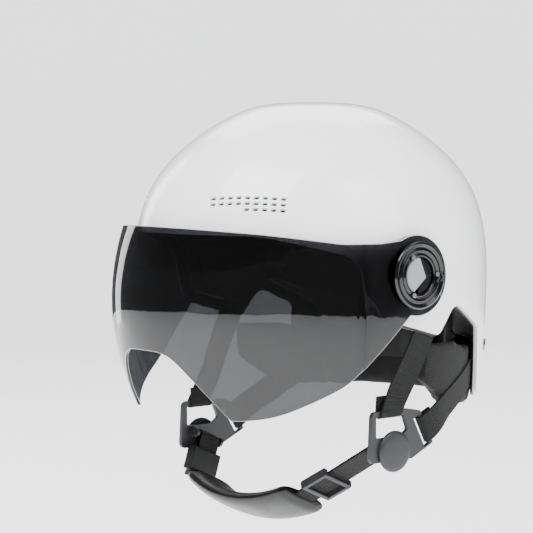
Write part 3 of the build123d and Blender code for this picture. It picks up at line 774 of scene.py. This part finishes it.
# ---------------------------------------------------------------- pivots
@dataclass
class Pivot:
    """Round visor pivot of one side: stepped ring, grey cap, latch, hub and screws."""

    side: Side
    centre_y: float = -10.0
    centre_z: float = 3.0
    ring_profile: tuple[Point, ...] = (
        (13.1, 122.4), (13.1, 123.6), (13.5, 124.1), (14.1, 124.2), (14.7, 123.9), (15.2, 123.3),
        (15.9, 123.2), (16.4, 123.6), (16.9, 124.5), (17.5, 124.75), (18.2, 124.5), (18.5, 123.7),
        (19.1, 123.35),
        (20.2, 123.4), (20.9, 124.0), (21.5, 124.65), (22.3, 124.65), (23.1, 124.2), (23.5, 123.4),
        (23.5, 122.5), (23.2, 122.25), (17.6, 122.25), (13.3, 122.25), (13.1, 122.4))
    arrow_tips: Point = (17.6, 21.4)
    arrow_lean: float = 52.0
    arrow_length: float = 4.0
    arrow_width: float = 1.0
    arrow_height: float = 1.6
    arrow_face: float = 124.3
    arrow_drop: float = 1.5

    def build(self) -> None:
        """Builds and dresses the pivot."""
        name, sign = self.side.value, self.side.sign
        centre = Vector((0, self.centre_y, self.centre_z)) * MM
        shape = spun(list(self.ring_profile), centre, Vector((sign, 0, 0)), 120)
        ring = add_piece(f"{name}_ring", shape, PIVOT_BLACK, 60)
        settle(ring, "helmet", (f"{name}_pivot_ring",))
        soft_edged(f"{name}_cap", f"{name}_pivot_cap", CAP_GREY, "helmet", 0.7)
        soft_edged(f"{name}_latch", f"{name}_visor_latch", PIVOT_BLACK, f"{name}_latch", 0.45)
        self.arrows()
        dress(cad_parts[f"{name}_pivot_base"], PIVOT_BLACK)
        dress(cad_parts[f"{name}_inner_plate"], STEEL)

    def arrows(self) -> None:
        """Two raised arrowheads on the ring that point rearwards, as a push mark for the latch."""
        shape = bmesh.new()
        for tip in self.arrow_tips:
            for lean in (-1, 1):
                turn = Matrix.Rotation(radians(lean * self.arrow_lean), 4, "X")
                size = Matrix.Diagonal((self.arrow_height, self.arrow_length, self.arrow_width, 1)) * MM
                size[3][3] = 1
                slide = Matrix.Translation(Vector((0, -self.arrow_length / 2, 0)) * MM)
                spot = Vector((self.arrow_face * self.side.sign, self.centre_y + tip,
                               self.centre_z - self.arrow_drop)) * MM
                bmesh.ops.create_cube(shape, size=1.0, matrix=Matrix.Translation(spot) @ turn @ slide @ size)
        bmesh.ops.bevel(shape, geom=shape.edges[:], offset=0.15 * MM, segments=2, profile=0.5, affect="EDGES",
                        material=-1)
        bmesh.ops.recalc_face_normals(shape, faces=shape.faces)
        arrows = add_piece(f"{self.side.value}_ring_arrows", shape, ACETAL_GREY, 60)
        settle(arrows, "helmet", ())


# ---------------------------------------------------------------- harness
@dataclass
class Harness:
    """Front and rear webbing of one side with the divider that joins them."""

    side: Side
    width: float = 21.0
    thickness: float = 1.6
    front_top: Point = (28.0, -2.0)
    front_bar: Point = (-20.0, -93.0)
    rear_top: Point = (110.0, -57.0)
    rear_bar: Point = (14.0, -106.5)
    drop: Point = (-6.04, -12.96)
    divider_x: float = 103.0
    divider_thickness: float = 3.2
    button: Point = (-17.0, -120.0)
    button_profile: tuple[Point, ...] = (
        (0.0, 3.4), (6.0, 3.38), (11.0, 3.25), (13.2, 2.95), (14.1, 2.4), (14.5, 1.6), (14.5, 0.5),
        (14.2, 0.1), (0.0, 0.1))
    skin_inset: float = 6.5
    half_length: float = 139.0
    crown: float = 123.0
    ratio: float = 115.0 / 139.0
    lean: float = 6.0
    lean_depth: float = 88.0
    bar_round: float = 2.75

    def shifted(self, place: Point) -> Point:
        """Place of a bar or button of this side in the side view."""
        if self.side is Side.LEFT:
            return place
        return (place[0] + self.drop[0], place[1] + self.drop[1])

    def skin_x(self, y: float, z: float) -> float:
        """Distance from the middle plane of the webbing layer under the shell."""
        radius = self.half_length - self.skin_inset
        if z < 0:
            radius -= self.lean * (z / self.lean_depth) ** 2
        else:
            radius *= (1 - (z / (self.crown - self.skin_inset)) ** 2.3) ** (1 / 2.3)
        return self.ratio * sqrt(max(radius * radius - y * y, 1.0))

    def run(self, top: Point, bar: Point, turned: bool, tail: float) -> tuple[list[Vector], list[Vector]]:
        """Middle line of a strap from its upper end, round the divider bar and back up behind.

        Args:
            top: upper end in the side view.
            bar: middle of the divider bar in the side view.
            turned: whether the bar lies square to the strap instead of level.
            tail: length of the sewn end behind the strap, in millimetres.

        Returns:
            The path and the vectors across the strap.
        """
        start, end = Vector(top), Vector(bar)
        way = (end - start).normalized()
        start = start - way * 7.0
        length = (end - start).length
        square = Vector((way.y, -way.x))
        level = square if turned else Vector((-1.0, 0.0))
        if square.dot(level) < 0:
            level = -level
        down = Vector((level.y, -level.x))
        if down.dot(way) < 0:
            down = -down
        points, sides = [], []
        count = int(length / 2.5)
        for step in range(count + 1):
            share = step / count
            flat = start + (end - start) * share
            late = max(0.0, (share - 0.72) / 0.28)
            late = late * late * (3 - 2 * late)
            x = self.skin_x(flat.x, flat.y)
            x += (self.divider_x + self.bar_round - x) * late
            points.append(Vector((x, flat.x, flat.y)))
            mixed = (square.lerp(level, late)).normalized()
            slope = self.skin_x(flat.x + mixed.x, flat.y + mixed.y) - self.skin_x(flat.x, flat.y)
            sides.append(Vector((slope * (1 - late), mixed.x, mixed.y)).normalized())
        for step in range(1, 9):
            angle = pi * step / 8
            flat = end + down * self.bar_round * sin(angle)
            points.append(Vector((self.divider_x + self.bar_round * cos(angle), flat.x, flat.y)))
            sides.append(Vector((0, level.x, level.y)))
        for step in range(1, 8):
            flat = end - down * tail * step / 7
            share = step / 7
            x = self.divider_x - self.bar_round + share * 1.1
            points.append(Vector((x, flat.x, flat.y)))
            sides.append(Vector((0, level.x, level.y)))
        mirror = Vector((self.side.sign, 1, 1))
        return ([p * mirror * MM for p in points], [s * mirror for s in sides])

    def strap(self, name: str, top: Point, bar: Point, turned: bool) -> None:
        """One strap with a sewn box of stitches above the bar."""
        path, across = self.run(top, bar, turned, 12.0)
        section = flat_section(self.width, self.thickness)
        piece = sweep(f"{self.side.value}_{name}_webbing", path, across, section, WEBBING, 36)
        settle(piece, "helmet", (f"{self.side.value}_{name}_strap",))
        places = []
        bend = len(path) - 16
        for row in (bend - 3, bend - 5):
            forward = (path[row + 1] - path[row]).normalized()
            outward = forward.cross(across[row]).normalized()
            outward = outward if outward.x * self.side.sign > 0 else -outward
            for step in range(-3, 4):
                middle = path[row] + across[row] * step * 2.8 * MM + outward * self.thickness * 0.52 * MM
                places.append((middle, across[row], outward))
        stitches(f"{self.side.value}_{name}_stitching", places, "helmet")

    def build(self) -> None:
        """Builds both straps, the divider and its button."""
        name = self.side.value
        self.strap("front", self.front_top, self.shifted(self.front_bar), False)
        self.strap("rear", self.rear_top, self.shifted(self.rear_bar), True)
        soft_edged(f"{name}_divider_plate", f"{name}_divider", ACETAL_GREY, "helmet", 0.7)
        y, z = self.shifted(self.button)
        base = self.divider_x + self.divider_thickness / 2
        profile = [(radius, base + height) for radius, height in self.button_profile]
        shape = spun(profile, Vector((0, y, z)) * MM, Vector((self.side.sign, 0, 0)), 96)
        settle(add_piece(f"{name}_button", shape, ACETAL_GREY, 60), "helmet",
               (f"{name}_divider_button",))
        for part in ("front_anchor", "rear_anchor", "hanger_pin"):
            dress(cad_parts[f"{name}_{part}"], STEEL)


# ---------------------------------------------------------------- chin strap
@dataclass
class ChinStrap:
    """Chin webbing, its padded sleeve, the sliding adjuster and the ratchet buckle."""

    centre: tuple[float, float, float] = (0.0, -17.0, -120.0)
    lean: float = 25.0
    hinge: Point = (96.5, 0.0)
    turn: Point = (32.0, 44.0)
    low: Point = (-25.0, 58.0)
    end: Point = (-80.0, 46.5)
    foot: Point = (-91.6, 45.0)
    eye: float = 2.65
    width: float = 20.0
    thickness: float = 1.6
    pad_width: float = 43.0
    pad_thickness: float = 12.5
    right_pin: Point = (-96.5, 14.3)
    buckle_reach: float = 20.6

    @property
    def wide(self) -> Vector:
        """Unit vector across the chin webbing."""
        return Vector((0, cos(radians(self.lean)), -sin(radians(self.lean))))

    def place(self, spot: Point) -> Vector:
        """Point of the chin loop's plane, in metres."""
        down = Vector((0, -sin(radians(self.lean)), -cos(radians(self.lean))))
        return (Vector(self.centre) + Vector((1, 0, 0)) * spot[0] + down * spot[1]) * MM

    def arc(self, first: float, last: float, count: int) -> list[Point]:
        """Points on the circle through turn, low and end, between two shares of its length."""
        a, b, c = Vector(self.turn), Vector(self.low), Vector(self.end)
        d = 2 * (a.x * (b.y - c.y) + b.x * (c.y - a.y) + c.x * (a.y - b.y))
        sa, sb, sc = a.length_squared, b.length_squared, c.length_squared
        middle = Vector((sa * (b.y - c.y) + sb * (c.y - a.y) + sc * (a.y - b.y),
                         sa * (c.x - b.x) + sb * (a.x - c.x) + sc * (b.x - a.x))) / d
        span = (a - middle).angle_signed(c - middle)
        points = []
        for step in range(count + 1):
            share = first + (last - first) * step / count
            angle = -span * share
            arm = a - middle
            turned = Vector((arm.x * cos(angle) - arm.y * sin(angle),
                             arm.x * sin(angle) + arm.y * cos(angle)))
            points.append(tuple(middle + turned))
        return points

    def eyelet(self, pin: Point, towards: Point) -> list[Point]:
        """Webbing folded round a hanger pin, opening towards the run that leaves it."""
        way = (Vector(towards) - Vector(pin)).normalized()
        square = Vector((-way.y, way.x))
        inner = [Vector(pin) + way * (12.0 - 1.2 * step) - square * (0.85 + 0.18 * step)
                 for step in range(10)]
        turned = [Vector(pin) - way * self.eye * sin(pi * k / 8) - square * self.eye * cos(pi * k / 8)
                  for k in range(9)]
        return [tuple(p) for p in inner + turned]

    def webbing(self, name: str, points: list[Point], body: str, node: str, width: float) -> None:
        """A strap along points of the chin loop's plane."""
        path = [self.place(p) for p in points]
        piece = sweep(name, path, [self.wide] * len(path), flat_section(width, self.thickness), WEBBING, 36)
        settle(piece, body, (node,))

    def build(self) -> None:
        """Builds the chin strap and the buckle."""
        way = (Vector(self.turn) - Vector(self.hinge)).normalized()
        square = Vector((-way.y, way.x))
        start = Vector(self.hinge) + square * self.eye
        run = [tuple(start.lerp(Vector(self.turn), k / 28)) for k in range(1, 28)]
        tail = [tuple(Vector(self.end).lerp(Vector(self.foot), k / 3 * 0.68)) for k in range(1, 4)]
        points = self.eyelet(self.hinge, self.turn) + run + self.arc(0.0, 1.0, 44) + tail
        self.webbing("chin_webbing", points, "chin_strap", "chin_web", self.width)
        rise = Vector((self.right_pin[0] + 2.5, self.right_pin[1])) - Vector(self.foot)
        top = tuple(Vector(self.foot) + rise.normalized() * self.buckle_reach)
        way = (Vector(top) - Vector(self.right_pin)).normalized()
        square = Vector((-way.y, way.x))
        start = Vector(self.right_pin) + square * self.eye
        hang = [tuple(start.lerp(Vector(top), k / 8)) for k in range(1, 9)]
        self.webbing("right_hanging_webbing", self.eyelet(self.right_pin, top) + hang, "helmet", "right_web",
                     self.width)
        path = [self.place(p) for p in self.arc(0.0, 1.0, 72)]
        pad = sweep("chin_pad_sleeve", path, [self.wide] * len(path),
                    oval_section(self.pad_width, self.pad_thickness), LEATHER_BLACK, 48)
        settle(pad, "chin_strap", ("chin_pad",))
        soft_edged("adjuster_frame", "strap_adjuster", ACETAL_GREY, "strap_adjuster", 0.6)
        soft_edged("buckle_body", "buckle_housing", NYLON_BLACK, "helmet", 0.8)
        soft_edged("buckle_blade", "buckle_tongue", ACETAL_GREY, "chin_strap", 0.35)
        soft_edged("buckle_release", "buckle_lever", ACETAL_GREY, "buckle_lever", 0.4)
        dress(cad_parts["buckle_pin"], STEEL)


# ---------------------------------------------------------------- cradle and screws
@dataclass
class Fittings:
    """Nape cradle with its dial, and the helmet's screws and rivets."""

    def build(self) -> None:
        """Dresses the small parts."""
        dress(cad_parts["nape_cradle"], NYLON_BLACK)
        soft_edged("dial_knob", "fit_dial", DIAL_RUBBER, "fit_dial", 0.5)
        dress(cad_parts["fit_dial_cap"], DIAL_RUBBER)
        for node in ("ring_screws", "pivot_screws", "strap_screws", "strap_rivets"):
            dress(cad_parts[node], STEEL)


def main() -> None:
    """Builds the helmet in order."""
    logging.basicConfig(level=logging.INFO, format="%(name)s: %(message)s")
    Studio().build()
    Shell().build()
    Lining().build()
    Visor().build()
    for side in Side:
        Pivot(side).build()
        Harness(side).build()
    ChinStrap().build()
    Fittings().build()


if __name__ == "__main__":
    main()
